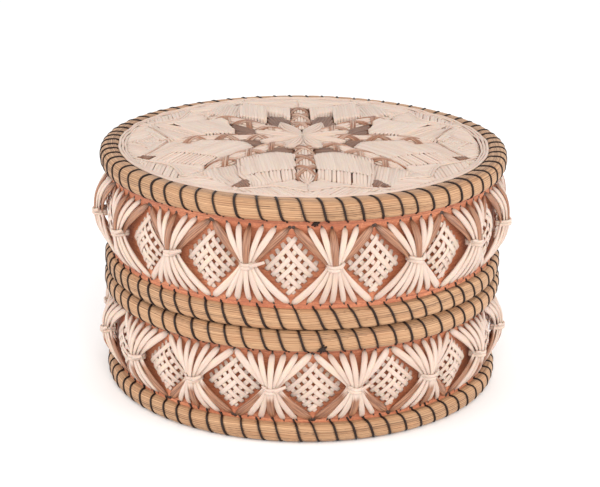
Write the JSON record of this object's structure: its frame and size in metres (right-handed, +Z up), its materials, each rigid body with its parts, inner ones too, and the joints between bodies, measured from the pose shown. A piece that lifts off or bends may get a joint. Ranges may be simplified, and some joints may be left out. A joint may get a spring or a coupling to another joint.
{
  "type": "lidded box",
  "caption": "Round lidded box of birch bark with sewn sweetgrass rims, quill fans and plaited diamonds on its sides and an eight-pointed quill star on the lid.",
  "frame": {"origin": "on the floor plane, on the axis of the round box, at the centre of the foot rim's underside", "axes": "+Z up along the axis of the box; -Y is the side seen in the picture, +X to its right"},
  "size_m": [0.1822, 0.1822, 0.1062],
  "materials": {
    "bark": "matt, reddish inner birch bark",
    "sweetgrass": "dry straw-coloured grass strands",
    "black_thread": "waxed black thread",
    "white_quill": "satin cream quill",
    "brown_quill": "satin brown quill"
  },
  "bodies": {
    "base": {"base_bottom_disc": "bark", "base_collar": "bark", "base_diamonds": "white_quill", "base_fan_quills_brown": "brown_quill", "base_fan_quills_light": "white_quill", "base_fan_ties": "white_quill", "base_foot_stitches": "black_thread", "base_foot_sweetgrass": "sweetgrass", "base_shoulder_stitches": "black_thread", "base_shoulder_sweetgrass": "sweetgrass", "base_side_wall": "bark"},
    "lid": {"lid_border_leaves": "white_quill", "lid_border_patches": "white_quill", "lid_border_wedges": "brown_quill", "lid_dark_leaves": "brown_quill", "lid_diamonds": "white_quill", "lid_fan_quills_brown": "brown_quill", "lid_fan_quills_light": "white_quill", "lid_fan_ties": "white_quill", "lid_fringe_quills": "white_quill", "lid_lower_stitches": "black_thread", "lid_lower_sweetgrass": "sweetgrass", "lid_panels": "white_quill", "lid_rosette_petals": "white_quill", "lid_side_lining": "bark", "lid_side_wall": "bark", "lid_spoke_crossings": "brown_quill", "lid_spokes": "white_quill", "lid_top_disc": "bark", "lid_top_lining": "bark", "lid_top_stitches": "black_thread", "lid_top_sweetgrass": "sweetgrass"}
  },
  "joints": [
    {"name": "lid_lift", "type": "slide", "parent": "base", "child": "lid", "axis": [0, 0, 1], "range_m": [0, 0.06]}
  ]
}
